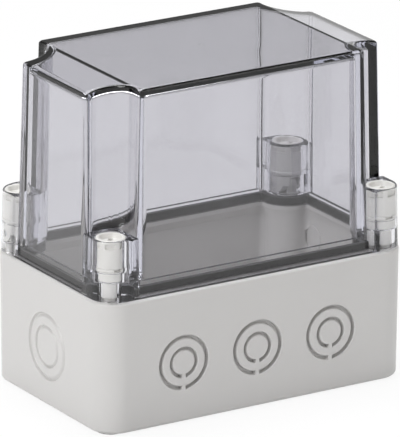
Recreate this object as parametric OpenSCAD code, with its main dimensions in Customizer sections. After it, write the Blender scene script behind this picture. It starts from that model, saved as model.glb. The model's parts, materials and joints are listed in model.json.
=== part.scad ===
// Hinged enclosure for electrical gear: a grey polycarbonate base with break-out
// cable entries, a tall clear hood, a seal, two quarter-turn locking screws at the
// front and two hinge screws at the back. +Z is up, X runs along the long side.
// The origin is the middle of the footprint, on the plane that the box stands on.

/* [Base] */
// Length of the base over its rim
base_l = 130; // [120:1:170]
// Width of the base over its rim
base_w = 80; // [72:1:110]
// Height of the rim above the surface that the box stands on
base_h = 50; // [46:1:70]
// Radius of the upright corners
corner_r = 10; // [9:0.5:12]
// Thickness of the side walls
base_wall = 3; // [2.5:0.1:3.5]
// Thickness of the floor
floor_t = 3; // [2.5:0.1:4]
// How far the walls lean in from the rim down to the floor
base_draft = 0.35; // [0.1:0.05:0.6]
// Rounding of the bottom edges
bottom_round = 1.6; // [1:0.1:2.5]

/* [Cover] */
// Height of the whole box
total_h = 127; // [110:1:150]
// Thickness of the clear walls
cover_wall = 2.5; // [2:0.1:3]
// Thickness of the clear roof
roof_t = 3; // [2.5:0.1:3.5]
// Lean of the clear walls from the vertical, in degrees
cover_draft = 1; // [0.5:0.1:1.5]
// How far the roof falls towards each short end
roof_fall = 2.5; // [1.5:0.1:3.5]
// Height of the corner bosses above the rim
boss_h = 23.3; // [21:0.1:28]

/* [Cable entries] */
// Outer size of the break-out rings on the long sides
long_entry_d = 21.6; // [18:0.1:23]
// Inner size of the break-out rings on the long sides
long_entry_inner_d = 12.6; // [10:0.1:14]
// Outer size of the break-out rings on the short sides
short_entry_d = 25.6; // [22:0.1:27]
// Inner size of the break-out rings on the short sides
short_entry_inner_d = 16.2; // [12:0.1:18]
// Distance between entries on a long side
entry_pitch = 31.3; // [28:0.1:34]
// Height of the entries' centres
entry_z = 23.4; // [20:0.1:28]

/* [Fixing] */
// Size of the wall fixing holes in the four corners
fixing_d = 4.6; // [4:0.1:5]
// Size of the pilot holes in the floor pillars
pillar_hole_d = 3.2; // [2.5:0.1:3.6]
// Distance between the floor pillars along X
pillar_dx = 76; // [60:1:80]
// Distance between the floor pillars along Y
pillar_dy = 40; // [30:1:44]

/* [Hidden] */
$fn = 64;
foot_h = 0.6;                              // rings under the corners
screw_x = base_l / 2 - 7.6;                // screw axes
screw_y = base_w / 2 - 8.2;
pivot_z = base_h + 7;                      // hinge pin height
seam = 0.45;                               // gap between the rim and the cover
cover_z = base_h + seam;                   // underside of the cover
boss_top = base_h + boss_h;
// clear hood: half sizes at rim height, lean per millimetre of height
hood_x = base_l / 2 - 1.85;
hood_y = base_w / 2 - 3.45;
lean = tan(cover_draft);
hood_h = total_h - base_h;
notch_r0 = 8.95;                           // screwdriver notch, at rim height
notch_lean = 0.0162;                       // the notch widens upwards
ridge_x = hood_x - hood_h * lean - 14.2;   // where the roof starts to fall
// seal, measured in from the hood's faces
seal_out = 0.7;
seal_in = 3.3;
seal_r_out = 7.6;                          // arcs round the screws
seal_r_in = 10.2;
seal_z0 = base_h + 0.5;
seal_z1 = base_h + 4.35;                    // roof of the seal's groove
lip_in = 2.95;                             // the base's sealing lip
lip_r = 9.7;
lip_t = 2;
rim_edge = 0.4;                            // chamfer round the top of the rim
column_r = 8;                              // screw columns in the base
// screws
head_r = 5.35;
collar_r = 4.7;
shank_r = 3.2;
tip_r = 2.4;
body_z0 = base_h + 11;
collar_z0 = base_h + 7.6;
lug_r = 4.05;
lug_w = 2.4;
lug_t = 2;
ring_z = body_z0 + 1.1;                    // middle of the snap rings
ring_h = 1;
ring_in = 4.5;
ring_out = head_r + 0.45;
lug_z0 = base_h - 5.1;
pin_r = 1.25;
eye_r = 3;
eye_w = 3.2;
fork_gap = 3.5;
// wells for the screws in the base
well_r = 4.3;
seat_r = 5.3;
well_floor = 5;
bush_flange_r = 5.8;
socket_len = 2.4;
guide_len = 7.6;
link_foot_z = 26;
corners = [[-1, -1], [1, -1], [-1, 1], [1, 1]];
eps = 0.01;

pc_grey = [0.80, 0.80, 0.79];
pc_clear = [0.75, 0.77, 0.80, 0.35];
rubber_black = [0.10, 0.10, 0.11];
nylon_white = [0.88, 0.87, 0.84];
steel = [0.65, 0.66, 0.68];

// ---- shared forms ----

// Points of an upright edge, from the bottom to the top: radius r at z1, lean
// inwards of d at z0, a rounding f at the bottom and a chamfer c at the top.
function edge_line(r, d, z0, z1, f, c) =
    concat([for (i = [0:(f > 0 ? 5 : 0)]) let (a = i * 18)
                [r - d - f + f * sin(a), z0 + f - f * cos(a)]],
           c > 0 ? [[r, z1 - c], [r - c, z1]] : [[r, z1]]);

function mirrored(pts, half) =
    concat([for (p = pts) [half + p[0], p[1]]],
           [for (i = [len(pts) - 1:-1:0]) [-half - pts[i][0], pts[i][1]]]);

// Profile in XZ carried along Y, from -w/2 to w/2.
module along_y(w) {
    translate([0, w / 2, 0]) rotate([90, 0, 0]) linear_extrude(w) children();
}

// Profile in YZ (drawn as XY) carried along X, from -l/2 to l/2.
module along_x(l) {
    translate([-l / 2, 0, 0]) rotate([90, 0, 90]) linear_extrude(l) children();
}

// Box with round upright corners, leaning walls, a rounded bottom edge and a
// chamfered top edge.
module drafted_box(l, w, r, d, z0, z1, f, c) {
    edge = edge_line(r, d, z0, z1, f, c);
    along_y(w - 2 * r) polygon(mirrored(edge, l / 2 - r));
    along_x(l - 2 * r) polygon(mirrored(edge, w / 2 - r));
    for (c = corners)
        translate([c[0] * (l / 2 - r), c[1] * (w / 2 - r), 0])
            rotate_extrude() polygon(concat([[0, z0]], edge, [[0, z1]]));
}

// Outline of the hood at an inset, with the corners cut away round the screws.
module notched_outline(inset, r) {
    difference() {
        square([2 * (hood_x - inset), 2 * (hood_y - inset)], center = true);
        for (c = corners)
            translate([c[0] * screw_x, c[1] * screw_y]) circle(r);
    }
}

module at_corners() {
    for (c = corners) translate([c[0] * screw_x, c[1] * screw_y, 0]) children();
}

// ---- base ----

// Everything inside the base: drafted walls, a sealing lip that stands in at the
// rim, and round columns left standing about the four screw wells.
module base_cavity() {
    wall_x = base_l / 2 - base_wall;
    wall_y = base_w / 2 - base_wall;
    lip_x = hood_x - lip_in;
    lip_y = hood_y - lip_in;
    under = base_h - lip_t;
    slope = wall_y - lip_y;
    function side(half, lip_half) =
        [[half - base_draft - 1, floor_t + foot_h], [half - base_draft, floor_t + foot_h + 1],
         [half, under - slope], [lip_half, under], [lip_half, base_h + 1]];
    difference() {
        intersection() {
            along_y(base_w) polygon(mirrored(side(wall_x, lip_x), 0));
            along_x(base_l) polygon(mirrored(side(wall_y, lip_y), 0));
        }
        at_corners() {
            cylinder(r = column_r, h = base_h);
            translate([0, 0, under - lip_r + column_r])
                cylinder(r1 = column_r, r2 = lip_r, h = lip_r - column_r);
            translate([0, 0, under - eps]) cylinder(r = lip_r, h = lip_t + 2);
        }
    }
}

// Ring groove cut into a face on the plane z = 0: outer size d, width w at the
// face, lips that open over the height lip, and a floor narrower by 2 * slope.
// bridge_w of it stays whole at the bottom, where the disc is held when it is
// broken out.
module ring_groove(d, w, depth, slope, lip, bridge_w) {
    r = d / 2;
    difference() {
        rotate_extrude()
            polygon([[r - w + slope, -depth], [r - slope, -depth],
                     [r - slope + 0.1, -lip], [r, 0], [r, 1],
                     [r - w, 1], [r - w, 0], [r - w + slope - 0.1, -lip]]);
        if (bridge_w > 0)
            translate([-bridge_w / 2, -d, -depth - 1]) cube([bridge_w, d, depth + 3]);
    }
}

module long_side_entries() {
    for (side = [-1, 1], i = [-1, 0, 1])
        translate([i * entry_pitch, side * (base_w / 2 - base_draft / 2), entry_z])
            rotate([90, 0, side < 0 ? 0 : 180]) {
                ring_groove(long_entry_d, 2.2, 2.1, 0.4, 0.35, 1.4);
                ring_groove(long_entry_inner_d, 2.1, 2.1, 0.4, 0.35, 1.4);
            }
}

module short_side_entries() {
    for (side = [-1, 1])
        translate([side * (base_l / 2 - base_draft / 2), 0, entry_z])
            rotate([90, 0, 90 * side]) {
                ring_groove(short_entry_d, 2, 0.8, 0.8, 0.4, 0);
                ring_groove(short_entry_inner_d, 1.8, 0.8, 0.7, 0.4, 0);
            }
}

// Plain round on the inner face of the right-hand wall, where the mould's
// inspection mark goes. It is left bare.
module mould_round() {
    translate([base_l / 2 - base_wall - base_draft - 0.25, 20.4, 36.5])
        rotate([0, 90, 0]) difference() {
            cylinder(r = 5.2, h = 1.5);
            translate([0, 0, -1]) cylinder(r = 4.5, h = 1.4);
        }
}

module base() {
    color(pc_grey)
    difference() {
        union() {
            difference() {
                drafted_box(base_l, base_w, corner_r, base_draft, foot_h, base_h,
                            bottom_round, rim_edge);
                base_cavity();
            }
            // bead under the seal
            translate([0, 0, base_h - 0.5]) linear_extrude(0.85)
                difference() {
                    notched_outline(1.3, 8.2);
                    notched_outline(2.7, 9.6);
                }
            // rings that the box stands on
            at_corners() cylinder(r = 5, h = 2);
            mould_round();
            // floor pillars for a mounting plate
            for (x = [-1, 1], y = [-1, 1])
                translate([x * pillar_dx / 2, y * pillar_dy / 2, floor_t])
                    cylinder(r1 = 3.9, r2 = 3.5, h = 6);
        }
        at_corners() {
            translate([0, 0, well_floor]) cylinder(r = well_r, h = base_h);
            translate([0, 0, -1]) cylinder(d = fixing_d, h = well_floor + 2);
            translate([0, 0, base_h - 0.4]) cylinder(r = bush_flange_r + 0.02, h = 2);
        }
        for (c = corners)
            translate([c[0] * screw_x, c[1] * screw_y,
                       base_h - 0.4 - (c[1] < 0 ? socket_len : guide_len)])
                cylinder(r = seat_r + 0.02, h = 10);
        for (x = [-1, 1], y = [-1, 1])
            translate([x * pillar_dx / 2, y * pillar_dy / 2, floor_t + 1])
                cylinder(d = pillar_hole_d, h = 8);
        long_side_entries();
        short_side_entries();
    }
}

// ---- clear cover ----

// Solid of the hood at an inset from its outer faces, up to the roof at top_z.
module hood_solid(inset, z0, top_z) {
    x0 = hood_x - inset + (base_h - z0) * lean;
    y0 = hood_y - inset + (base_h - z0) * lean;
    x1 = hood_x - inset - (top_z - roof_fall - base_h) * lean;
    y1 = hood_y - inset - (top_z - base_h) * lean;
    difference() {
        intersection() {
            along_y(base_w)
                polygon([[-x0, z0], [x0, z0], [x1, top_z - roof_fall], [ridge_x, top_z],
                         [-ridge_x, top_z], [-x1, top_z - roof_fall]]);
            along_x(base_l)
                polygon([[-y0, z0], [y0, z0], [y1, top_z], [-y1, top_z]]);
        }
        at_corners() {
            translate([0, 0, z0 - 1])
                cylinder(r1 = notch_r0 + inset + (z0 - 1 - base_h) * notch_lean,
                         r2 = notch_r0 + inset + (top_z + 1 - base_h) * notch_lean,
                         h = top_z + 2 - z0);
        }
    }
}

// The four solid corners that carry the screws; their outer faces follow the
// base's corners and lean in a little.
module corner_bosses() {
    edge = 0.35;
    lean_in = 0.6;
    inner_x = screw_x - 7.7;
    inner_y = screw_y - 8.4;
    intersection() {
        rotate([180, 0, 0])
            drafted_box(base_l - 2 * edge, base_w - 2 * edge, corner_r - edge, lean_in,
                        -boss_top, -cover_z, 0.5, 0);
        for (c = corners)
            translate([c[0] > 0 ? inner_x : -base_l, c[1] > 0 ? inner_y : -base_w, 0])
                cube([base_l - inner_x, base_w - inner_y, total_h]);
    }
}

module cover_flange() {
    edge = 0.35;
    difference() {
        drafted_box(base_l - 2 * edge, base_w - 2 * edge, corner_r - edge, 0,
                    cover_z, base_h + 1.2, 0, 0.3);
        translate([0, 0, base_h]) linear_extrude(3) notched_outline(1, 9.5);
    }
}

module cover() {
    color(pc_clear)
    difference() {
        union() {
            hood_solid(0, cover_z, total_h);
            corner_bosses();
            cover_flange();
        }
        // the hollow above the inner foot
        hood_solid(cover_wall, base_h + 5.4, total_h - roof_t);
        // the hollow through the inner foot
        translate([0, 0, base_h]) linear_extrude(5.5) notched_outline(4, 10.9);
        // groove for the seal
        translate([0, 0, base_h]) linear_extrude(seal_z1 - base_h)
            difference() {
                notched_outline(seal_out - 0.1, seal_r_out - 0.1);
                notched_outline(seal_in + 0.1, seal_r_in + 0.1);
            }
        for (c = corners)
            translate([c[0] * screw_x, c[1] * screw_y, 0]) {
                translate([0, 0, body_z0 - (c[1] < 0 ? 0.05 : 0)])
                    cylinder(r = head_r + 0.3, h = 40);
                translate([0, 0, ring_z - ring_h / 2])
                    cylinder(r = ring_out + 0.1, h = ring_h + 0.2);
                if (c[1] < 0) {
                    translate([0, 0, collar_z0 - 0.3]) cylinder(r = collar_r + 0.3, h = 8);
                    translate([0, 0, base_h]) cylinder(r = shank_r + 0.08, h = 10);
                } else {
                    translate([0, 0, pivot_z - eye_r - 0.4])
                        cylinder(r = collar_r + 0.3, h = 10);
                    translate([0, 0, base_h]) cylinder(r = shank_r + 0.3, h = 10);
                    // way out for the link as the cover swings
                    translate([-shank_r - 0.3, 0, base_h])
                        cube([2 * shank_r + 0.6, 12, pivot_z + 4.3 - base_h]);
                }
            }
        // gate mark in the middle of the roof
        translate([0, 0, total_h - 0.2]) cylinder(r = 1.3, h = 1);
    }
}

module seal() {
    color(rubber_black)
    translate([0, 0, seal_z0]) linear_extrude(seal_z1 - seal_z0)
        difference() {
            notched_outline(seal_out, seal_r_out);
            notched_outline(seal_in, seal_r_in);
        }
}

// ---- screws ----

// Head with a cup, a screwdriver slot and six pockets in the side under its rim.
module screw_head() {
    top = boss_top - 0.1;
    difference() {
        union() {
            translate([0, 0, body_z0]) cylinder(r = head_r, h = top - 0.5 - body_z0);
            translate([0, 0, top - 0.5 - eps]) cylinder(r1 = head_r, r2 = head_r - 0.4, h = 0.5 + eps);
        }
        translate([0, 0, top - 1.8]) cylinder(r1 = 3.6, r2 = 4.1, h = 2);
        translate([-3.4, -0.8, top - 2.9]) cube([6.8, 1.6, 3]);
        for (a = [0:60:300])
            rotate(a) translate([head_r - 1, -1.9, top - 3.2]) cube([2, 3.8, 2]);
    }
}

// Groove round the body of a screw for its snap ring.
module ring_seat() {
    translate([0, 0, ring_z - ring_h / 2 - 0.05])
        difference() {
            cylinder(r = head_r + 1, h = ring_h + 0.1);
            cylinder(r = ring_in - 0.05, h = ring_h + 0.1);
        }
}

// Open snap ring that holds a screw in the cover.
module snap_ring() {
    translate([0, 0, ring_z - ring_h / 2])
        difference() {
            cylinder(r = ring_out, h = ring_h);
            translate([0, 0, -1]) cylinder(r = ring_in, h = ring_h + 2);
            translate([-1.5, -8, -1]) cube([3, 8, ring_h + 2]);
        }
}

// Locking screw: two lugs at the tip pass the socket and turn under it.
module locking_screw(head_turn) {
    difference() {
        rotate(head_turn) screw_head();
        ring_seat();
    }
    translate([0, 0, collar_z0]) cylinder(r = collar_r, h = body_z0 - collar_z0 + eps);
    translate([0, 0, base_h + 0.9]) cylinder(r = shank_r, h = collar_z0 - base_h);
    translate([0, 0, lug_z0]) cylinder(r = tip_r, h = base_h + 1.5 - lug_z0);
    translate([0, 0, lug_z0 - 0.8]) cylinder(r1 = tip_r - 0.9, r2 = tip_r, h = 0.8 + eps);
    intersection() {
        translate([0, 0, lug_z0]) cylinder(r = lug_r, h = lug_t);
        translate([-lug_r, -lug_w / 2, lug_z0 - 1]) cube([2 * lug_r, lug_w, lug_t + 2]);
    }
}

// Hinge screw: the same head, with a fork below it for the link.
module hinge_screw() {
    fork_z = pivot_z;
    difference() {
        union() {
            difference() {
                rotate(28) screw_head();
                ring_seat();
            }
            difference() {
                union() {
                    translate([0, 0, fork_z]) cylinder(r = collar_r, h = body_z0 - fork_z + eps);
                    intersection() {
                        translate([0, 0, fork_z - eye_r]) cylinder(r = collar_r, h = eye_r + eps);
                        translate([-6, 0, fork_z]) rotate([0, 90, 0]) cylinder(r = eye_r, h = 12);
                    }
                }
                // slot between the two cheeks
                translate([-fork_gap / 2, -8, fork_z - 6]) cube([fork_gap, 16, 6 + eye_r + 0.3]);
            }
        }
        // room for the link's shank behind the fork
        translate([-shank_r - 0.3, eye_r, fork_z - 6]) cube([2 * shank_r + 0.6, 8, 10.2]);
        translate([-6, 0, fork_z]) rotate([0, 90, 0]) cylinder(r = pin_r, h = 12);
    }
}

module hinge_pin() {
    translate([-4.1, 0, pivot_z]) rotate([0, 90, 0]) cylinder(r = pin_r, h = 8.2);
}

// Link: an eye round the pin and a long shank that slides in the base.
module link() {
    shoulder = pivot_z - eye_r - 0.4;
    difference() {
        union() {
            translate([-eye_w / 2, 0, pivot_z]) rotate([0, 90, 0]) cylinder(r = eye_r, h = eye_w);
            translate([-eye_w / 2, -2.7, shoulder - 1]) cube([eye_w, 5.4, pivot_z - shoulder + 1]);
            translate([0, 0, link_foot_z]) cylinder(r = shank_r, h = shoulder - link_foot_z);
            translate([0, 0, link_foot_z]) cylinder(r = lug_r, h = 2);
        }
        translate([-6, 0, pivot_z]) rotate([0, 90, 0]) cylinder(r = pin_r + 0.05, h = 12);
    }
}

// Bush with a keyhole, pressed into a front well.
module socket() {
    difference() {
        union() {
            translate([0, 0, base_h - 0.4 - socket_len]) cylinder(r = seat_r, h = socket_len + eps);
            translate([0, 0, base_h - 0.4]) cylinder(r = bush_flange_r, h = 0.7);
        }
        translate([0, 0, base_h - 6]) cylinder(r = tip_r + 0.85, h = 10);
        translate([-lug_r - 0.25, -lug_w / 2 - 0.85, base_h - 6])
            cube([2 * lug_r + 0.5, lug_w + 1.7, 10]);
    }
}

// Long bush that guides a hinge link.
module guide() {
    difference() {
        union() {
            translate([0, 0, base_h - 0.4 - guide_len]) cylinder(r = seat_r, h = guide_len + eps);
            translate([0, 0, base_h - 0.4]) cylinder(r = bush_flange_r, h = 0.7);
        }
        translate([0, 0, base_h - 12]) cylinder(r = shank_r + 0.06, h = 20);
    }
}

module at_screw(sx, sy) {
    translate([sx * screw_x, sy * screw_y, 0]) children();
}

module front_left_screw() { color(nylon_white) at_screw(-1, -1) locking_screw(58); }
module front_right_screw() { color(nylon_white) at_screw(1, -1) locking_screw(41); }
module front_left_ring() { color(nylon_white) at_screw(-1, -1) snap_ring(); }
module front_right_ring() { color(nylon_white) at_screw(1, -1) snap_ring(); }
module back_left_ring() { color(nylon_white) at_screw(-1, 1) rotate(180) snap_ring(); }
module back_right_ring() { color(nylon_white) at_screw(1, 1) rotate(180) snap_ring(); }
module back_left_hinge_screw() { color(nylon_white) at_screw(-1, 1) hinge_screw(); }
module back_right_hinge_screw() { color(nylon_white) at_screw(1, 1) hinge_screw(); }
module back_left_pin() { color(steel) at_screw(-1, 1) hinge_pin(); }
module back_right_pin() { color(steel) at_screw(1, 1) hinge_pin(); }
module back_left_link() { color(nylon_white) at_screw(-1, 1) link(); }
module back_right_link() { color(nylon_white) at_screw(1, 1) link(); }
module front_left_socket() { color(pc_grey) at_screw(-1, -1) socket(); }
module front_right_socket() { color(pc_grey) at_screw(1, -1) socket(); }
module back_left_guide() { color(pc_grey) at_screw(-1, 1) guide(); }
module back_right_guide() { color(pc_grey) at_screw(1, 1) guide(); }

base();
cover();
seal();
front_left_screw();
front_right_screw();
front_left_ring();
front_right_ring();
back_left_ring();
back_right_ring();
back_left_hinge_screw();
back_right_hinge_screw();
back_left_pin();
back_right_pin();
back_left_link();
back_right_link();
front_left_socket();
front_right_socket();
back_left_guide();
back_right_guide();
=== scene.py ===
"""Looks of the hinged enclosure, laid out as an add-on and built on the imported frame."""

import json
import math

import bpy
import numpy as np
from bpy.props import FloatProperty, FloatVectorProperty, PointerProperty
from bpy.types import Operator, Panel, PropertyGroup
from mathutils import Matrix, Vector


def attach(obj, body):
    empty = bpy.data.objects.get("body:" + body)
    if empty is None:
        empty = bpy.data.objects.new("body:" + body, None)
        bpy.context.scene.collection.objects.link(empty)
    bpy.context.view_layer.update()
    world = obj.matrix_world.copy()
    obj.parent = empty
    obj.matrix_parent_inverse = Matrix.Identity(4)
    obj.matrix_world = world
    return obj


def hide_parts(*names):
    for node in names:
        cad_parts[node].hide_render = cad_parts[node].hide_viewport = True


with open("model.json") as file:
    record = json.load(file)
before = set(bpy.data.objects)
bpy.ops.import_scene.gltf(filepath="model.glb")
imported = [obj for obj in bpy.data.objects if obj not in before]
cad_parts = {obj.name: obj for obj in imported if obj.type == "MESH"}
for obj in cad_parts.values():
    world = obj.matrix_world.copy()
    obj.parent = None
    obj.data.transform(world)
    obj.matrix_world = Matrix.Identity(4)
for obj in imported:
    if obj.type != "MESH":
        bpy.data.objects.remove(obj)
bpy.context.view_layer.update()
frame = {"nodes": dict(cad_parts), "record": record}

bl_info = {
    "name": "Hinged enclosure",
    "version": (1, 0, 0),
    "blender": (4, 5, 0),
    "location": "View3D > Sidebar > Enclosure",
    "description": "Grey base, clear hood, seal and screws of a hinged enclosure",
    "category": "Object",
}

MM = 0.001
FULL = 2 * math.pi
SX, SY = 57.4, 31.8  # screw axes, in millimetres
RIM = 50.0  # top of the base
BOSS_TOP = 73.3
HOOD_X, HOOD_Y = 63.15, 36.55  # half sizes of the hood at the rim's height
LEAN = math.tan(math.radians(1.0))
RIDGE = 46.6  # the roof falls beyond this distance from the middle
ROOF_FALL = 2.5 / 15.2  # and this much for each millimetre
NOTCH_R, NOTCH_GROWS = 8.95, 0.0162  # cuts about the screws, at the rim and per millimetre
PIVOT_Z = 57.0  # hinge pins
MOULD_ROUND = (61.4, 20.4, 36.5)  # on the inner wall
PILLARS = [(sx * 38, sy * 20) for sx in (-1, 1) for sy in (-1, 1)]
SKY_HIGH, SKY_MATT = 0.3, 0.12  # sky overhead in gloss and glass, and for matt surfaces
FLOOR_SEEN, FLOOR_IN_GLASS = 0.9, 0.45  # share of plain white in the floor
GROOVE_TOP = 53.8  # roof of the seal's groove
CORNERS = ((-1, -1), (1, -1), (1, 1), (-1, 1))


# ---- outlines -------------------------------------------------------------


def arc(cx, cy, r, a0, a1, n):
    """n + 1 points on the circle of radius r about (cx, cy), from angle a0 to a1 in radians."""
    a = np.linspace(a0, a1, n + 1)
    return np.c_[cx + r * np.cos(a), cy + r * np.sin(a)]


def around(q):
    """A closed outline, anticlockwise, from its quarter between the +X and the +Y axis: it is mirrored in both axes."""
    quarters = [q, (q * (-1, 1))[::-1], q * (-1, -1), (q * (1, -1))[::-1]]
    return np.vstack([p[:-1] for p in quarters])


def notched(hx, hy, r, f, n=7, m=18):
    """Rectangle of half sizes hx, hy less a circle of radius r about each screw axis.

    Each edge of a cut is rounded with radius f: that arc touches the side, at
    distance f from it, and the circle, at distance r + f from its centre.
    """
    fx1, fy1 = hx - f, SY - math.sqrt((r + f) ** 2 - (hx - f - SX) ** 2)
    fx2, fy2 = SX - math.sqrt((r + f) ** 2 - (hy - f - SY) ** 2), hy - f
    a1 = math.atan2(SY - fy1, SX - fx1)
    a2 = math.atan2(SY - fy2, SX - fx2)
    parts = [
        [(hx, 0.0)],
        arc(fx1, fy1, f, 0.0, a1, n),
        arc(SX, SY, r, a1 + math.pi, a2 + math.pi, m)[1:-1],
        arc(fx2, fy2, f, a2, math.pi / 2, n),
        [(0.0, hy)],
    ]
    return around(np.vstack(parts))


def round_box(hx, hy, r, n=16):
    """Rectangle of half sizes hx, hy with corners of radius r."""
    return around(np.vstack([[(hx, 0.0)], arc(hx - r, hy - r, r, 0, math.pi / 2, n), [(0.0, hy)]]))


def soften(points, radii, n=5, closed=True):
    """Path with each corner rounded by its own radius.

    The arc touches both edges at the distance r / tan(half the corner's angle).
    """
    p = np.asarray(points, float)
    out = []
    for i, r in enumerate(radii):
        b = p[i]
        if r <= 0 or (not closed and i in (0, len(p) - 1)):
            out.append(b[None])
            continue
        u, v = p[i - 1] - b, p[(i + 1) % len(p)] - b
        u, v = u / np.linalg.norm(u), v / np.linalg.norm(v)
        half = math.acos(float(np.clip(u @ v, -1, 1))) / 2
        t = r / math.tan(half)
        centre = b + (u + v) / np.linalg.norm(u + v) * (r / math.sin(half))
        s, e = b + u * t - centre, b + v * t - centre
        a0 = math.atan2(s[1], s[0])
        d = (math.atan2(e[1], e[0]) - a0 + math.pi) % FULL - math.pi
        out.append(arc(centre[0], centre[1], r, a0, a0 + d, n))
    return np.vstack(out)


def ring(outline, z):
    """The outline as points at height z, a number or one value for each point."""
    return np.c_[outline, np.broadcast_to(z, len(outline))]


# ---- meshes ---------------------------------------------------------------


def new_mesh(name, verts, faces):
    """Object at the origin from points in millimetres."""
    mesh = bpy.data.meshes.new(name)
    mesh.from_pydata((np.asarray(verts, float) * MM).tolist(), [], faces)
    mesh.validate()
    obj = bpy.data.objects.new(name, mesh)
    bpy.context.scene.collection.objects.link(obj)
    return obj


def grid_faces(rows, n, close_u=True, close_v=False):
    """Quads of a grid of rows x n points, row after row.

    close_u joins each row's end to its start, close_v the last row to the first.
    """
    i = np.arange(rows if close_v else rows - 1)[:, None]
    j = np.arange(n if close_u else n - 1)[None, :]
    i2, j2 = (i + 1) % rows, (j + 1) % n
    return np.stack([i * n + j, i * n + j2, i2 * n + j2, i2 * n + j], -1).reshape(-1, 4).tolist()


def loft(name, rows, close_v=False, caps=((), ())):
    """Skin over closed rows of points, from the bottom row up.

    caps gives lists of point numbers for the faces over the first and the last
    row; an empty one closes with one face.
    """
    n = len(rows[0])
    faces = grid_faces(len(rows), n, True, close_v)
    if not close_v:
        low, high = caps
        last = (len(rows) - 1) * n
        faces += [list(c)[::-1] for c in (low or [range(n)])]
        faces += [[last + k for k in c] for c in (high or [range(n)])]
    return new_mesh(name, np.vstack(rows), faces)


def turned(name, profile, centre=(0, 0), n=72):
    """Solid turned about an upright axis from (radius, height) points, bottom pole to top pole."""
    a = np.linspace(0, FULL, n, endpoint=False)
    rows = [
        np.c_[centre[0] + r * np.cos(a), centre[1] + r * np.sin(a), np.full(n, z)]
        for r, z in np.asarray(profile, float)
        if r > 0
    ]
    return loft(name, rows)


def bent(name, section, a0=0.0, a1=FULL, n=72, to=(0, 0)):
    """Closed section of (radius, height) points, anticlockwise, carried round an upright axis.

    It goes from angle a0 to a1 with flat ends; a full turn joins up.
    """
    s = np.asarray(section, float)
    full = abs(a1 - a0) >= FULL - 1e-6
    a = np.linspace(a0, a1, n, endpoint=not full)
    x, y = np.outer(np.cos(a), s[:, 0]) + to[0], np.outer(np.sin(a), s[:, 0]) + to[1]
    verts = np.stack([x, y, np.tile(s[:, 1], (len(a), 1))], -1).reshape(-1, 3)
    faces = [f[::-1] for f in grid_faces(len(a), len(s), True, full)]
    if not full:
        last = (len(a) - 1) * len(s)
        faces += [list(range(len(s))), [last + k for k in range(len(s))][::-1]]
    return new_mesh(name, verts, faces)


def prism(name, outline, lo, hi, soft=0.0):
    """Upright prism over an outline, from lo to hi.

    With soft its two edges are rounded: the outline is drawn in towards its
    middle over a quarter circle.
    """
    o = np.asarray(outline, float)
    if not soft:
        return loft(name, [ring(o, lo), ring(o, hi)])
    mid = (o.max(0) + o.min(0)) / 2
    half = (o.max(0) - o.min(0)) / 2
    rows = []
    for a in np.linspace(0, math.pi / 2, 5):
        k = 1 - soft * (1 - math.sin(a)) / half
        rows.append(ring(mid + (o - mid) * k, lo + soft * (1 - math.cos(a))))
    rows += [r * (1, 1, -1) + (0, 0, lo + hi) for r in rows[::-1]]
    return loft(name, rows)


def block(name, lo, hi, soft=0.0):
    """Box between two corners; soft rounds its edges."""
    c, h = [(a + b) / 2 for a, b in zip(lo, hi)], [(b - a) / 2 for a, b in zip(lo, hi)]
    o = round_box(h[0], h[1], max(soft, 0.01), 4) + c[:2]
    return prism(name, o, lo[2], hi[2], soft)


def move(obj, *, turn=None, to=(0, 0, 0)):
    """Turns the mesh about the origin, by degrees about an axis, then shifts it by millimetres.

    Its object stays at the origin.
    """
    m = Matrix.Translation(Vector(to) * MM)
    if turn is not None:
        m = m @ Matrix.Rotation(math.radians(turn[0]), 4, turn[1])
    obj.data.transform(m)
    return obj


def combine(target, others, how):
    """Joins the others to the target, cuts them out or keeps what they share, and removes them."""
    for other in others:
        mod = target.modifiers.new("combine", "BOOLEAN")
        mod.operation, mod.solver, mod.object = how, "MANIFOLD", other
        graph = bpy.context.evaluated_depsgraph_get()
        mesh = bpy.data.meshes.new_from_object(target.evaluated_get(graph))
        target.modifiers.clear()
        old, target.data = target.data, mesh
        bpy.data.meshes.remove(old)
        bpy.data.objects.remove(other)
    if len(target.data.polygons) < 6:
        raise RuntimeError(f"{target.name}: the solids did not combine")
    return target


def finish_piece(obj, name, body, slot, replaces=(), angle=32):
    """Shades the piece smooth but for edges sharper than the angle, and puts it on its body."""
    obj.name = obj.data.name = name
    obj.data.shade_smooth()
    obj.data.set_sharp_from_angle(angle=math.radians(angle))
    even = obj.modifiers.new("even shading", "WEIGHTED_NORMAL")
    even.keep_sharp = True
    obj.data.materials.clear()
    obj.data.materials.append(finish_for(slot))
    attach(obj, body)
    if replaces:
        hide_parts(*replaces)
    return obj


# ---- materials ------------------------------------------------------------


class Val:
    """A socket with arithmetic that adds Math nodes."""

    def __init__(self, tree, out):
        self.t, self.out = tree, out

    def _op(self, kind, a, b=0.0):
        return self.t.node("ShaderNodeMath", {"operation": kind}, {0: a, 1: b})

    def __add__(self, o):
        return self._op("ADD", self, o)

    __radd__ = __add__

    def __mul__(self, o):
        return self._op("MULTIPLY", self, o)

    __rmul__ = __mul__

    def __sub__(self, o):
        return self._op("SUBTRACT", self, o)

    def __rsub__(self, o):
        return self._op("SUBTRACT", o, self)

    def maximum(self, o):
        return self._op("MAXIMUM", self, o)


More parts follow.
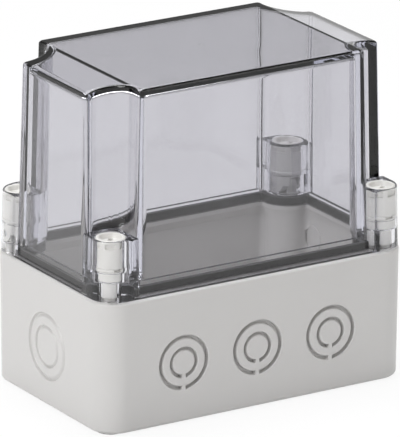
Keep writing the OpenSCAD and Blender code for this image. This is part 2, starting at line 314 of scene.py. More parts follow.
class Tree:
    """The node tree of a material or of the world."""

    def __init__(self, owner):
        self.owner = owner
        owner.use_nodes = True
        self.nt = owner.node_tree
        self.nt.nodes.clear()

    def node(self, kind, settings=None, inputs=None, out=0):
        n = self.nt.nodes.new(kind)
        for k, v in (settings or {}).items():
            setattr(n, k, v)
        for k, v in (inputs or {}).items():
            if isinstance(v, Val):
                self.nt.links.new(v.out, n.inputs[k])
            else:
                n.inputs[k].default_value = v
        return Val(self, n.outputs[out]) if n.outputs else None

    def coords(self, scale=(1.0, 1.0, 1.0)):
        c = self.node("ShaderNodeTexCoord", out="Object")
        return self.node("ShaderNodeMapping", {}, {"Vector": c, "Scale": scale})

    def noise(self, scale, detail=3.0, rough=0.5, stretch=(1.0, 1.0, 1.0)):
        inputs = {"Vector": self.coords(stretch), "Scale": scale, "Detail": detail, "Roughness": rough}
        return self.node("ShaderNodeTexNoise", {}, inputs)

    def ramp(self, value, lo, hi, a=0.0, b=1.0):
        """Smooth step from a, where the value is lo, to b, where it is hi."""
        inputs = {"Value": value, "From Min": lo, "From Max": hi, "To Min": a, "To Max": b}
        return self.node("ShaderNodeMapRange", {"interpolation_type": "SMOOTHSTEP"}, inputs)

    def mix(self, factor, a, b):
        return self.node("ShaderNodeMix", {"data_type": "RGBA"}, {0: factor, 6: a, 7: b}, out=2)

    def bump(self, height, strength, distance):
        return self.node("ShaderNodeBump", {}, {"Height": height, "Strength": strength, "Distance": distance})

    def plastic(self, **inputs):
        """Principled shader; names use _ for spaces."""
        return self.node("ShaderNodeBsdfPrincipled", {}, {k.replace("_", " "): v for k, v in inputs.items()})

    def light_path(self, *names):
        """1 for a ray of any of the named kinds, else 0."""
        outs = [self.node("ShaderNodeLightPath", out=f"Is {n} Ray") for n in names]
        total = outs[0]
        for o in outs[1:]:
            total = total.maximum(o)
        return total

    def blend(self, factor, a, b):
        return self.node("ShaderNodeMixShader", {}, {0: factor, 1: a, 2: b})

    def surface(self, shader, volume=None):
        inputs = {"Surface": shader}
        if volume:
            inputs["Volume"] = volume
        self.node("ShaderNodeOutputMaterial", {}, inputs)
        return self.owner


def rgba(c, k=1.0):
    """Colour with its opacity, made darker by k."""
    return (c[0] * k, c[1] * k, c[2] * k, 1.0)


def grey_plastic(mat, s):
    """Fine satin moulding: a spark-eroded grain, with a faint cloud in the colour and the gloss."""
    t = Tree(mat)
    cloud = t.noise(38.0, 4.0)
    grain = t.noise(5200.0, 2.0, 0.6)
    return t.surface(
        t.plastic(
            Base_Color=t.mix(cloud, rgba(s.base_colour, 0.97), rgba(s.base_colour)),
            Roughness=0.3 + cloud * 0.1,
            Normal=t.bump(grain, 0.1, 0.00002),
            IOR=1.58,
        )
    )


def clear_plastic(mat, s):
    """Polished clear moulding.

    It bends light, darkens along its length, and lets lamp light through to what
    is inside. Its tint is paler in the corner blocks: painted light, so that the
    screws seen through them look brighter lit.
    """
    t = Tree(mat)
    place = t.coords()
    fold = t.node("ShaderNodeVectorMath", {"operation": "ABSOLUTE"}, {0: place})
    screw = (SX * MM, SY * MM, 0.0)
    off = t.node("ShaderNodeVectorMath", {"operation": "SUBTRACT"}, {0: fold, 1: screw})
    flat = t.node("ShaderNodeVectorMath", {"operation": "MULTIPLY"}, {0: off, 1: (1.0, 1.0, 0.0)})
    away = t.node("ShaderNodeVectorMath", {"operation": "LENGTH"}, {0: flat}, out=1)
    height = t.node("ShaderNodeSeparateXYZ", {}, {0: place}, out=2)
    # painted light: a paler tint in the corner blocks makes the screws seen through them look brighter lit
    block_light_mask = t.ramp(away, 0.0105, 0.0085) * t.ramp(height, 0.0745, 0.0735)
    tint = t.mix(block_light_mask, rgba(s.pane_tint), rgba(s.block_light_tint))
    glass = t.plastic(
        Base_Color=tint,
        Roughness=0.0,
        IOR=1.5,
        Transmission_Weight=1.0,
        Normal=t.bump(t.noise(45.0, 2.0, stretch=(1.0, 1.0, 0.35)), 0.25, 0.0002),
    )
    pane = t.node("ShaderNodeBsdfTransparent", {}, {"Color": (1.0, 1.0, 1.0, 1.0)})
    depth = t.node("ShaderNodeVolumeAbsorption", {}, {"Color": rgba(s.depth_tint), "Density": 36.0})
    return t.surface(t.blend(t.light_path("Shadow", "Diffuse"), glass, pane), depth)


def rubber(mat, s):
    """Foamed rubber: nearly black, with a fine open grain."""
    t = Tree(mat)
    grain = t.noise(1500.0, 4.0)
    return t.surface(
        t.plastic(
            Base_Color=t.mix(grain, rgba(s.seal_colour, 0.5), rgba(s.seal_colour)),
            Roughness=0.5 + grain * 0.2,
            Normal=t.bump(grain, 0.2, 0.00003),
        )
    )


def polyamide(mat, s):
    """Natural polyamide: warm white, a little cloudy and waxy."""
    t = Tree(mat)
    cloud = t.noise(160.0, 3.0)
    return t.surface(
        t.plastic(
            Base_Color=t.mix(cloud, rgba(s.screw_colour, 0.95), rgba(s.screw_colour)),
            Roughness=0.32 + cloud * 0.12,
            Normal=t.bump(t.noise(2600.0), 0.08, 0.00002),
            IOR=1.53,
        )
    )


def steel(mat, s):
    """Ground steel pin: a fine grain round it in the gloss."""
    t = Tree(mat)
    grain = t.noise(900.0, 2.0, stretch=(4.0, 1.0, 1.0))
    return t.surface(t.plastic(Base_Color=rgba(s.pin_colour), Metallic=1.0, Roughness=0.22 + grain * 0.16))


MAKERS = {
    "grey_polycarbonate": grey_plastic,
    "clear_polycarbonate": clear_plastic,
    "black_rubber": rubber,
    "white_polyamide": polyamide,
    "steel": steel,
}


def finish_for(slot):
    """The material of a slot, made once. The frame's own materials bear the slots' bare names."""
    name = f"{slot} finish"
    mat = bpy.data.materials.get(name)
    if mat is None:
        mat = MAKERS[slot](bpy.data.materials.new(name), bpy.context.scene.enclosure_finish)
    return mat


# ---- clear hood -----------------------------------------------------------


def hood_rows(inset, z0, top, edge):
    """Rows of the hood at an inset from its outer faces.

    Each face leans in by LEAN for each millimetre of height, and the cuts about
    the screws widen by NOTCH_GROWS. The roof falls beyond the ridges in a straight
    slope, and its edge is rounded over a quarter circle of radius edge.
    """

    def outline(z, extra=0.0):
        i = inset + extra
        up = z - RIM
        hx, hy = HOOD_X - i - up * LEAN, HOOD_Y - i - up * LEAN
        return notched(hx, hy, NOTCH_R + i + up * NOTCH_GROWS, 1.4 if inset else 0.9)

    def fall(o):
        return ROOF_FALL * np.clip(np.abs(o[:, 0]) - RIDGE, 0, None)

    wall = outline(top - edge)
    rows = [ring(outline(z0), z0), ring(wall, top - fall(wall) - edge)]
    for a in np.linspace(0, math.pi / 2, 6)[1:]:
        o = outline(top - edge, edge * (1 - math.cos(a)))
        rows.append(ring(o, top - fall(wall) - edge * (1 - math.sin(a))))
    return rows


def roof_caps(row):
    """The roof's three flat parts as lists of point numbers.

    They are the middle, and each end beyond its ridge with the next point on
    both sides.
    """
    x, n = row[:, 0], len(row)

    def end(sel):
        gap = np.flatnonzero(np.diff(sel) > 1)
        sel = np.roll(sel, -(gap[0] + 1)) if len(gap) else sel
        return [int(sel[0] - 1) % n, *map(int, sel), int(sel[-1] + 1) % n]

    mid = [int(k) for k in np.flatnonzero(np.abs(x) <= RIDGE)]
    return [mid, end(np.flatnonzero(x > RIDGE)), end(np.flatnonzero(x < -RIDGE))]


def hood_solid(name, inset, z0, top, edge):
    """Closed solid over the hood's rows, with its three roof faces."""
    rows = hood_rows(inset, z0, top, edge)
    return loft(name, rows, caps=((), roof_caps(rows[-1])))


def boss(sx, sy, edge=0.7):
    """Corner block about a screw.

    Its outer faces follow the base's corner and lean in by 0.6 towards the top,
    whose edge is a quarter circle.
    """

    def row(z, inset):
        t = (z - 50.45) / (BOSS_TOP - 50.45)
        hx, hy = 64.65 - 0.6 * t - inset, 39.65 - 0.6 * t - inset
        ix, iy = 49.7 + inset, 23.4 + inset
        corners = [(ix, iy), (hx, iy), (hx, hy), (ix, hy)]
        return ring(soften(corners, [0, 0.8, 9.65 - 0.6 * t - inset, 0.8], 14), z)

    rows = [row(50.45, 0.35), row(50.8, 0.0), row(BOSS_TOP - edge, 0.0)]
    for a in np.linspace(0, math.pi / 2, 6)[1:]:
        rows.append(row(BOSS_TOP - edge * (1 - math.sin(a)), edge * (1 - math.cos(a))))
    rows = [(r * (sx, sy, 1))[:: sx * sy] for r in rows]
    return loft("boss", rows)


def hood_ring(name, i0, i1, z0, z1, grow, soft=0.0):
    """Ring along the hood's foot between two insets; its section has corners of radius soft."""
    sec = soften([(i0, z0), (i1, z0), (i1, z1), (i0, z1)], [soft] * 4, 5)
    rows = [ring(notched(HOOD_X - i, HOOD_Y - i, grow + i, 0.8), z) for i, z in sec]
    return loft(name, rows[::-1], close_v=True)


def make_hood(s):
    """Hood, corner blocks and foot as one clear solid, hollowed and bored."""
    body = hood_solid("clear_hood", 0.0, 50.8, s.height / MM, s.edge / MM)
    plate_rows = [(0.3, 50.45), (0, 50.6), (0, 50.95), (0.08, 51.12), (0.3, 51.2)]
    plate_rows = [ring(round_box(64.65 - i, 39.65 - i, 9.65 - i, 24), z) for i, z in plate_rows]
    plate = loft("plate", plate_rows)
    combine(body, [boss(*c) for c in CORNERS] + [plate], "UNION")
    cuts = [
        hood_solid("hollow", s.wall / MM, 55.4, (s.height - s.roof) / MM, 1.4),
        loft("foot", [ring(notched(59.15, 32.55, 10.9, 1.2), z) for z in (49.0, 55.6)]),
        hood_ring("groove", 0.6, 3.4, 49.0, GROOVE_TOP, 6.9),
        turned("gate mark", [(0, 126.75), (0.9, 126.8), (1.3, 127.1), (1.3, 128), (0, 128)], n=32),
    ]
    for sx, sy in CORNERS:
        r, step = (3.28, 57.3) if sy < 0 else (3.5, 53.6)
        low = [(r, 49), (r, step), (5.0, step)]
        bore = [(5.0, 60.95), (5.65, 60.95), (5.65, 61.6), (5.9, 61.6), (5.9, 62.8), (5.65, 62.8)]
        mouth = [(5.65, 72.6), (5.72, 72.95), (5.95, 73.2), (6.2, 73.3), (6.2, 80), (0, 80)]
        cuts.append(turned("bore", [(0, 49)] + low + bore + mouth, (sx * SX, sy * SY), 96))
        if sy > 0:
            cuts.append(block("way out", (sx * SX - 3.5, SY, 49), (sx * SX + 3.5, SY + 12, 61.3)))
    combine(body, cuts, "DIFFERENCE")
    finish_piece(body, "clear_hood", "lid", "clear_polycarbonate", ["cover"])


def make_seal(s):
    """Seal that fills its groove, touching the clear walls on both sides, with soft lower edges."""
    body = hood_ring("seal_ring", 0.56, 3.44, s.seal_bottom / MM, GROOVE_TOP + 0.05, 6.9, 0.3)
    finish_piece(body, "seal_ring", "lid", "black_rubber", ["seal"])


# ---- grey base ------------------------------------------------------------


def cavity():
    """Inside of the base.

    Its floor edge is rounded, and its walls lean out a little towards the rim and
    step in under the sealing lip.
    """
    rows = []
    for a in np.linspace(0, math.pi / 2, 6):
        i = 1.6 * (1 - math.sin(a))
        rows.append(ring(notched(61.65 - i, 36.65 - i, 8 + i, 2.2), 3.6 + 1.6 * (1 - math.cos(a))))
    for hx, hy, r, f, z in (
        (62.0, 37.0, 8.0, 2.2, 44.6),
        (60.6, 34.0, 9.3, 1.2, 47.9),
        (60.25, 33.65, 9.65, 0.9, 48.4),
        (60.2, 33.6, 9.7, 0.9, 49.7),
        (60.3, 33.7, 9.6, 0.9, 49.9),
        (60.6, 34.0, 9.3, 0.9, 50.0),
        (60.6, 34.0, 9.3, 0.9, 52.0),
    ):
        rows.append(ring(notched(hx, hy, r, f), z))
    return loft("cavity", rows)


def lip(r, wall, soft, n=7):
    """Quarter circle of radius soft from the face at radius r to the groove's wall."""
    a = np.linspace(0, math.pi / 2, n)
    return np.c_[r + (wall - r) * np.sin(a), -soft + soft * np.cos(a)]


def ring_cut(r_in, r_out, depth, soft_in, soft_out, bridge, n=84):
    """Ring groove about the Z axis, cut into the face z = 0.

    Its walls stand at r_in and r_out, its floor at -depth. The lips are quarter
    circles with radii soft_in and soft_out. It stops short on both sides of the
    -Y direction, which leaves the bridge.
    """
    left = lip(r_in - soft_in, r_in, soft_in)
    right = lip(r_out + soft_out, r_out, soft_out)[::-1]
    floor = [(r_in + 0.12, 0.1), (r_in + 0.25, 0), (r_out - 0.25, 0), (r_out - 0.12, 0.1)]
    floor = np.array(floor) - (0, depth)
    sec = np.vstack([[(r_in - soft_in, 1.0)], left, floor, right, [(r_out + soft_out, 1.0)]])
    half = bridge / (r_in + r_out)
    return bent("groove", sec, half - math.pi / 2, 1.5 * math.pi - half, n)


def dish_cut(r_in, r_out, depth, n=84):
    """Soft ring about the Z axis.

    Its depth is a sine of the share of the way out, raised to 2.2, so it starts
    flat inside and ends steep outside.
    """
    t = np.linspace(0, 1, 15)
    sec = np.c_[r_in + (r_out - r_in) * t, -depth * np.sin(math.pi * t**2.2) - 0.001]
    sec = np.vstack([[(r_in, 0.8)], sec, [(r_out, 0.8)]])
    return bent("dish", sec, n=n)


def entry_cuts(s):
    """Cutters of all break-out entries, stood on the leaning faces."""
    lean = math.degrees(math.atan(0.35 / RIM))
    height = s.entry_height / MM
    rings = ((s.entry_outer / MM / 2, 9.05, 0.75), (s.entry_inner / MM / 2, 4.75, 0.8))
    cuts = []
    for side in (-1, 1):
        for k in (-1, 0, 1):
            for r, r_wall, soft in rings:
                c = move(ring_cut(r_wall, r - 0.45, 2.1, soft, 0.45, 1.5), turn=(90 + lean, "X"))
                if side > 0:
                    move(c, turn=(180, "Z"))
                cuts.append(move(c, to=(k * 31.3, side * 39.82, height)))
        for r_in, r_out, depth in ((10.6, 12.8, 0.9), (6.3, 8.1, 0.8)):
            c = move(dish_cut(r_in, r_out, depth), turn=(90 + lean, "X"))
            move(c, turn=(90 * side, "Z"))
            cuts.append(move(c, to=(side * 64.82, 0, height)))
    return cuts


def make_base(s):
    """The grey base: a shell with leaning walls, sealing lip, wells, pillars and entries."""
    rows = []
    for a in np.linspace(0, math.pi / 2, 7):
        i = 0.35 + 1.6 * (1 - math.sin(a))
        rows.append(ring(round_box(65 - i, 40 - i, 10 - i, 24), 0.6 + 1.6 * (1 - math.cos(a))))
    e = s.rim_edge / MM
    for a in np.linspace(0, math.pi / 2, 6):
        i = e * (1 - math.cos(a))
        rows.append(ring(round_box(65 - i, 40 - i, 10 - i, 24), RIM - e + e * math.sin(a)))
    body = loft("grey_base", rows)
    combine(body, [cavity()], "DIFFERENCE")
    adds = [hood_ring("bead", 1.3, 2.7, 49.4, 50.35, 6.9, 0.2)]
    foot = [(0, 0), (4.7, 0), (4.93, 0.1), (5, 0.3), (5, 2), (0, 2)]
    adds += [turned("foot", foot, (sx * SX, sy * SY)) for sx, sy in CORNERS]
    pillar = [(0, 3), (4.7, 3), (3.9, 4.1), (3.5, 9), (0, 9)]
    pillar = soften(pillar, [0, 0, 1.2, 0.3, 0], 5, closed=False)
    adds += [turned("pillar", pillar, p, 48) for p in PILLARS]
    mark = soften([(0, 0), (5.2, 0), (5.2, 1.5), (0, 1.5)], [0, 0.15, 0, 0], 4, closed=False)
    adds.append(move(turned("mould round", mark), turn=(90, "Y"), to=MOULD_ROUND))
    combine(body, adds, "UNION")
    inner = [(0, -1), (4.5, -1), (4.5, 0.4), (0, 0.4)]
    cuts = [move(turned("round", inner), turn=(90, "Y"), to=MOULD_ROUND)]
    for sx, sy in CORNERS:
        seat = 47.2 if sy < 0 else 42.0
        well = [(0, -1), (2.3, -1), (2.3, 5), (4.3, 5), (4.3, seat), (5.32, seat), (5.32, 49.6)]
        mouth = [(5.82, 49.6), (5.82, 49.9), (6.0, 50.05), (6.0, 52), (0, 52)]
        cuts.append(turned("well", well + mouth, (sx * SX, sy * SY)))
    pilot = [(0, 4), (1.6, 4), (1.6, 8.8), (1.9, 9.2), (1.9, 12), (0, 12)]
    cuts += [turned("pilot", pilot, p, 40) for p in PILLARS]
    combine(body, cuts + entry_cuts(s), "DIFFERENCE")
    finish_piece(body, "grey_base", "base", "grey_polycarbonate", ["base"])


# ---- screws and hinge -----------------------------------------------------


def at_screw(obj, sx, sy):
    """Moves a piece made on the origin's axis to a screw's axis."""
    return move(obj, to=(sx * SX, sy * SY, 0))


def rounded(points):
    """Open profile from (radius, height, rounding) points."""
    return soften([p[:2] for p in points], [p[2] for p in points], 4, closed=False)


def screw_body(name, foot, turn):
    """Head, ring seat and collar, turned in one profile above the given foot.

    It has a cup, a screwdriver slot and six pockets in the side. Each point of
    the profile is (radius, height, rounding).
    """
    top = BOSS_TOP - 0.1
    points = foot + [
        (4.7, 61.0, 0.0),
        (5.35, 61.0, 0.2),
        (5.35, 61.55, 0.0),
        (4.45, 61.55, 0.0),
        (4.45, 62.65, 0.0),
        (5.35, 62.65, 0.0),
        (5.35, top, 0.35),
        (4.15, top, 0.3),
        (3.6, top - 1.8, 0.5),
        (0.0, top - 1.8, 0.0),
    ]
    body = turned(name, rounded(points), n=80)
    cuts = [block("slot", (-3.4, -0.8, top - 2.9), (3.4, 0.8, top + 1), 0.15)]
    for k in range(6):
        cuts.append(block("pocket", (4.35, -1.9, top - 3.2), (6.5, 1.9, top - 1.2), 0.3))
        move(cuts[-1], turn=(60 * k, "Z"))
    for c in cuts:
        move(c, turn=(turn, "Z"))
    return combine(body, cuts, "DIFFERENCE")


def make_locking_screws():
    """Two quarter-turn screws: two lugs at the tip pass the socket and turn under it."""
    foot = [
        (0.0, 44.1, 0.0), (1.5, 44.1, 0.2), (2.4, 44.9, 0.2), (2.4, 50.9, 0.0), (3.2, 51.3, 0.2),
        (3.2, 57.6, 0.25), (4.7, 57.6, 0.3),
    ]
    for sx, side, turn in ((-1, "left", 58), (1, "right", 41)):
        body = screw_body(f"{side}_locking_screw", foot, turn)
        a = math.asin(1.2 / 4.05)
        o = np.vstack([arc(0, 0, 4.05, -a, a, 6), arc(0, 0, 4.05, math.pi - a, math.pi + a, 6)])
        combine(body, [prism("lugs", o, 44.9, 46.9, 0.12)], "UNION")
        at_screw(body, sx, -1)
        stands_for = [f"front_{side}_screw"]
        finish_piece(body, body.name, f"{side}_lock", "white_polyamide", stands_for)


def rod(name, r, half, soft=0.0, n=48):
    """Rod along X on the hinge pins' height, from -half to half, its end edges rounded by soft."""
    p = [(0, -half, 0), (r, -half, soft), (r, half, soft), (0, half, 0)]
    return move(turned(name, rounded(p), n=n), turn=(90, "Y"), to=(0, 0, PIVOT_Z))


def make_hinge_screws():
    """Two screws with the same head and a fork, whose cheeks end in half rounds about the pin."""
    for sx, side in ((-1, "left"), (1, "right")):
        body = screw_body(f"{side}_hinge_screw", [(0.0, 57.0, 0.0), (4.7, 57.0, 0.2)], 28)
        cheeks = rod("cheeks", 3.0, 6, n=96)
        core = [(0, 50), (4.69, 50), (4.69, 61.5), (0, 61.5)]
        combine(cheeks, [turned("round", core, n=80)], "INTERSECT")
        combine(body, [cheeks], "UNION")
        cuts = [
            block("fork slot", (-1.75, -8, 50), (1.75, 8, 60.3)),
            block("room for the link", (-3.5, 3, 50), (3.5, 11, 61.2)),
            rod("pin hole", 1.25, 6),
        ]
        combine(body, cuts, "DIFFERENCE")
        at_screw(body, sx, 1)
        stands_for = [f"back_{side}_hinge_screw"]
        finish_piece(body, body.name, "lid", "white_polyamide", stands_for)


def make_rings():
    """Open snap rings in the heads, with rounded edges; their gap faces the nearer long side."""
    sec = soften([(4.5, 61.6), (5.8, 61.6), (5.8, 62.6), (4.5, 62.6)], [0.15] * 4, 3)
    gap = math.asin(1.5 / 5.15)
    for sx, sy in CORNERS:
        mid = sy * math.pi / 2
        row, side = ("front" if sy < 0 else "back"), ("left" if sx < 0 else "right")
        piece = bent("ring", sec, mid + gap, mid + FULL - gap, 60)
        at_screw(piece, sx, sy)
        name, stands_for = f"{row}_{side}_snap_ring", [f"{row}_{side}_ring"]
        finish_piece(piece, name, "lid", "white_polyamide", stands_for)


def make_links():
    """Hinge links: an eye round the pin, a flat neck and a long shank with a stop at its foot."""
    shank = [
        (0, 26, 0),
        (4.05, 26, 0.3),
        (4.05, 28, 0.3),
        (3.2, 28, 0.2),
        (3.2, 53.6, 0.4),
        (0, 53.6, 0),
    ]
    for sx, side in ((-1, "left"), (1, "right")):
        body = turned(f"{side}_hinge_link", rounded(shank), n=64)
        neck = block("neck", (-1.6, -2.7, 52.6), (1.6, 2.7, PIVOT_Z), 0.15)
        combine(body, [rod("eye", 3.0, 1.6, 0.2, 64), neck], "UNION")
        combine(body, [rod("hole", 1.3, 6)], "DIFFERENCE")
        at_screw(body, sx, 1)
        finish_piece(body, body.name, "hinge_links", "white_polyamide", [f"back_{side}_link"])


def make_bushes():
    """Bushes in the wells: short ones with a keyhole at the front, long plain guides behind."""
    for sx, side in ((-1, "left"), (1, "right")):
        for sy, row, low, name in ((-1, "front", 47.2, "socket"), (1, "back", 42.0, "guide")):
            seat = [(0, low, 0), (5.3, low, 0.25), (5.3, 49.6, 0)]
            flange = [(5.8, 49.6, 0.1), (5.8, 50.3, 0.25), (0, 50.3, 0)]
            body = turned(f"{row}_{side}_bush", rounded(seat + flange), n=80)
            r = 3.25 if sy < 0 else 3.26
            mouth = [(r, 50.05), (r + 0.25, 50.35), (r + 0.25, 52), (0, 52)]
            cuts = [turned("hole", [(0, 40), (r, 40)] + mouth, n=64)]
            if sy < 0:
                cuts.append(block("keyway", (-4.3, -2.05, 40), (4.3, 2.05, 52), 0.2))
            combine(body, cuts, "DIFFERENCE")
            at_screw(body, sx, sy)
            stands_for = [f"{row}_{side}_{name}"]
            finish_piece(body, body.name, "base", "grey_polycarbonate", stands_for)


def make_pins():
    """Hinge pins with rounded ends."""
    for sx, side in ((-1, "left"), (1, "right")):
        body = at_screw(rod(f"{side}_hinge_pin", 1.25, 4.1, 0.2), sx, 1)
        finish_piece(body, body.name, "lid", "steel", [f"back_{side}_pin"])


# ---- stage ----------------------------------------------------------------


def camera():
    """Long lens, from the front left and a little above."""
    yaw, pitch, roll = (math.radians(v) for v in (32.1, 18.59, 0.36))
    flat = math.cos(pitch)
    fwd = Vector((math.sin(yaw) * flat, math.cos(yaw) * flat, -math.sin(pitch)))
    level = Vector((math.cos(yaw), -math.sin(yaw), 0.0))
    upright = level.cross(fwd)
    right = math.cos(roll) * level + math.sin(roll) * upright
    up = math.cos(roll) * upright - math.sin(roll) * level
    place = Vector((0, 0, 110)) - fwd * 2418.29 + right * -0.27 + up * -46.54
    data = bpy.data.cameras.new("camera")
    data.lens, data.sensor_width = 551.613, 36
    data.clip_start, data.clip_end = 0.05, 50
    cam = bpy.data.objects.new("camera", data)
    bpy.context.scene.collection.objects.link(cam)
    m = Matrix((right, up, -fwd)).transposed().to_4x4()
    m.translation = place * MM
    cam.matrix_world = m
    bpy.context.scene.camera = cam


def lamp(name, place, target, size, watts):
    """Square area lamp at a place, aimed at a target, both in metres."""
    data = bpy.data.lights.new(name, "AREA")
    data.size, data.energy = size, watts
    obj = bpy.data.objects.new(name, data)
    bpy.context.scene.collection.objects.link(obj)
    place, target = Vector(place), Vector(target)
    obj.location = place
    obj.rotation_euler = (target - place).to_track_quat("-Z", "Y").to_euler()


def make_floor():
    """Round floor: rings of points whose radii grow by a fixed ratio.

    The camera, glass and gloss see it nearly white, with the shadow kept.
    """
    rows, n = 12, 64
    a = np.linspace(0, FULL, n, endpoint=False)
    r = np.geomspace(30, 3000, rows)
    verts = np.stack([np.outer(r, np.cos(a)), np.outer(r, np.sin(a)), np.zeros((rows, n))], -1)
    floor = new_mesh("floor", verts.reshape(-1, 3), grid_faces(rows, n) + [list(range(n))[::-1]])
    t = Tree(bpy.data.materials.new("pale floor"))
    paper = t.node("ShaderNodeBsdfDiffuse", {}, {"Color": (0.9, 0.9, 0.9, 1.0)})
    glow = t.node("ShaderNodeEmission", {}, {"Color": (1.0, 1.0, 1.0, 1.0), "Strength": 1.0})
    seen = t.light_path("Camera") * FLOOR_SEEN
    seen = seen + t.light_path("Glossy", "Transmission") * FLOOR_IN_GLASS
    floor.data.materials.append(t.surface(t.blend(seen, paper, glow)))


def make_sky():
    """Sky that is white to the camera.

    Gloss and glass see it white low down and darker overhead, and matt surfaces
    get an even, weaker light from it.
    """
    world = bpy.data.worlds.new("studio")
    bpy.context.scene.world = world
    t = Tree(world)

    def sky(strength):
        inputs = {"Color": (1.0, 1.0, 1.0, 1.0), "Strength": strength}
        return t.node("ShaderNodeBackground", {}, inputs)

    way = t.node("ShaderNodeTexCoord", out="Generated")
    up = t.node("ShaderNodeSeparateXYZ", {}, {0: way}, out=2)
    wall = t.blend(t.ramp(up, 0.25, 0.05), sky(SKY_HIGH), sky(1.0))
    lit = t.blend(t.light_path("Glossy", "Transmission"), sky(SKY_MATT), wall)
    t.node("ShaderNodeOutputWorld", {}, {"Surface": t.blend(t.light_path("Camera"), lit, sky(1.0))})


# ---- add-on ---------------------------------------------------------------


def length(name, description, default):
    """Length property in metres, from a default in millimetres."""
    return FloatProperty(
        name=name,
        description=description,
        default=default * MM,
        min=0.0,
        unit="LENGTH",
        precision=4,
    )


def colour(name, description, default):
    """Colour property."""
    return FloatVectorProperty(
        name=name,
        description=description,
        default=default,
        size=3,
        min=0.0,
        max=1.0,
        subtype="COLOR",
    )


class EnclosureSizes(PropertyGroup):
    """Sizes that can be changed without new solids."""

    height: length("Height", "Top of the hood above the ground", 127.0)
    wall: length("Wall", "Thickness of the hood's walls", 2.5)
    roof: length("Roof", "Thickness of the hood's roof", 3.0)
    edge: length("Top edge", "Rounding of the hood's top edge", 1.0)
    seal_bottom: length("Seal foot", "Height of the seal's lower face", 50.6)
    rim_edge: length("Rim edge", "Rounding of the base's upper edge", 0.75)
    entry_height: length("Entry height", "Middle of the break-out entries above the ground", 23.4)
    entry_outer: length("Entry, large", "Diameter of the larger break-out on a long side", 21.6)
    entry_inner: length("Entry, small", "Diameter of the smaller break-out on a long side", 12.6)


class EnclosureFinish(PropertyGroup):
    """Colours of the mouldings and small parts."""

    base_colour: colour("Base", "Grey of the base", (0.61, 0.6, 0.59))
    pane_tint: colour("Hood", "What two faces of the clear hood let through", (0.77, 0.765, 0.79))
    # painted light: the corner blocks' paler tint brightens the screws seen through them
    block_light_tint: colour("Corner blocks", "What a block's faces let through", (0.95, 0.95, 0.96))
    depth_tint: colour("Depth", "Colour that light takes along the clear walls", (0.67, 0.68, 0.76))
    seal_colour: colour("Seal", "Black of the seal", (0.015, 0.014, 0.013))
    screw_colour: colour("Screws", "White of the screws, links and rings", (0.72, 0.71, 0.68))
    pin_colour: colour("Pins", "Steel of the hinge pins", (0.56, 0.57, 0.58))


class ENCLOSURE_OT_stage(Operator):
    """Set up the floor, the sky, three soft lamps and the camera"""

    bl_idname = "enclosure.stage"
    bl_label = "Stage"

    def execute(self, context):
        camera()
        make_floor()
        make_sky()
        lamp("key", (-1.15, -0.25, 0.7), (0, 0, 0.05), 0.6, 10.0)
        lamp("fill", (0.5, -1.1, 0.5), (0, 0, 0.05), 0.9, 3.9)
        lamp("top", (0.1, 0.3, 1.2), (0, 0, 0.05), 0.9, 14.0)
        context.scene.view_settings.view_transform = "Standard"
        cycles = context.scene.cycles
        cycles.max_bounces = cycles.transmission_bounces = cycles.transparent_max_bounces = 24
        return {"FINISHED"}


class ENCLOSURE_OT_nodes(Operator):
    """Give every solid of the frame the finish of its slot"""

    bl_idname = "enclosure.nodes"
    bl_label = "Frame finishes"

    def execute(self, context):
        for part in frame["record"]["subparts"]:
            obj = frame["nodes"][part["node"]]
            obj.data.materials.clear()
            obj.data.materials.append(finish_for(part["material_slot"]))
        return {"FINISHED"}


class ENCLOSURE_OT_base(Operator):
    """Make the grey base with its break-out entries"""

    bl_idname = "enclosure.base"
    bl_label = "Base"

    def execute(self, context):
        make_base(context.scene.enclosure_sizes)
        return {"FINISHED"}


class ENCLOSURE_OT_hood(Operator):
    """Make the clear hood with its corner blocks"""

    bl_idname = "enclosure.hood"
    bl_label = "Hood"

    def execute(self, context):
        make_hood(context.scene.enclosure_sizes)
        return {"FINISHED"}


class ENCLOSURE_OT_seal(Operator):
    """Make the black seal in the hood's groove"""

    bl_idname = "enclosure.seal"
    bl_label = "Seal"

    def execute(self, context):
        make_seal(context.scene.enclosure_sizes)
        return {"FINISHED"}


class ENCLOSURE_OT_locking_screws(Operator):
    """Make the two quarter-turn screws at the front"""

    bl_idname = "enclosure.locking_screws"
    bl_label = "Locking screws"

    def execute(self, context):
        make_locking_screws()
        return {"FINISHED"}


class ENCLOSURE_OT_hinge_screws(Operator):
    """Make the two forked screws of the hinge"""

    bl_idname = "enclosure.hinge_screws"
    bl_label = "Hinge screws"

    def execute(self, context):
        make_hinge_screws()
        return {"FINISHED"}


class ENCLOSURE_OT_rings(Operator):
    """Make the four snap rings"""

    bl_idname = "enclosure.rings"
    bl_label = "Snap rings"

    def execute(self, context):
        make_rings()
        return {"FINISHED"}


class ENCLOSURE_OT_links(Operator):
    """Make the two hinge links"""

    bl_idname = "enclosure.links"
    bl_label = "Hinge links"

    def execute(self, context):
        make_links()
        return {"FINISHED"}


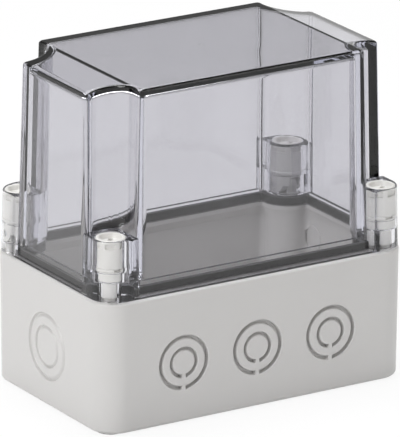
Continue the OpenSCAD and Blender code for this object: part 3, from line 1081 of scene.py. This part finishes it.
class ENCLOSURE_OT_bushes(Operator):
    """Make the four bushes in the base's wells"""

    bl_idname = "enclosure.bushes"
    bl_label = "Bushes"

    def execute(self, context):
        make_bushes()
        return {"FINISHED"}


class ENCLOSURE_OT_pins(Operator):
    """Make the two hinge pins"""

    bl_idname = "enclosure.pins"
    bl_label = "Hinge pins"

    def execute(self, context):
        make_pins()
        return {"FINISHED"}


OPERATORS = (
    ENCLOSURE_OT_stage,
    ENCLOSURE_OT_nodes,
    ENCLOSURE_OT_base,
    ENCLOSURE_OT_hood,
    ENCLOSURE_OT_seal,
    ENCLOSURE_OT_locking_screws,
    ENCLOSURE_OT_hinge_screws,
    ENCLOSURE_OT_rings,
    ENCLOSURE_OT_links,
    ENCLOSURE_OT_bushes,
    ENCLOSURE_OT_pins,
)


class ENCLOSURE_PT_panel(Panel):
    """Sizes, finishes and pieces of the enclosure"""

    bl_idname = "ENCLOSURE_PT_panel"
    bl_label = "Hinged enclosure"
    bl_space_type = "VIEW_3D"
    bl_region_type = "UI"
    bl_category = "Enclosure"

    def draw(self, context):
        col = self.layout.column(align=True)
        for group in (context.scene.enclosure_sizes, context.scene.enclosure_finish):
            for prop in group.__annotations__:
                col.prop(group, prop)
            col.separator()
        for op in OPERATORS:
            col.operator(op.bl_idname)


CLASSES = (EnclosureSizes, EnclosureFinish, *OPERATORS, ENCLOSURE_PT_panel)


def register():
    """Makes the add-on's classes and scene properties known."""
    for c in CLASSES:
        bpy.utils.register_class(c)
    bpy.types.Scene.enclosure_sizes = PointerProperty(type=EnclosureSizes)
    bpy.types.Scene.enclosure_finish = PointerProperty(type=EnclosureFinish)


def unregister():
    """Takes them away again."""
    del bpy.types.Scene.enclosure_finish
    del bpy.types.Scene.enclosure_sizes
    for c in reversed(CLASSES):
        bpy.utils.unregister_class(c)


def main():
    """Makes every piece in order."""
    register()
    run = bpy.ops.enclosure
    run.stage()
    run.nodes()
    run.base()
    run.hood()
    run.seal()
    run.locking_screws()
    run.hinge_screws()
    run.rings()
    run.links()
    run.bushes()
    run.pins()


if __name__ == "__main__":
    main()
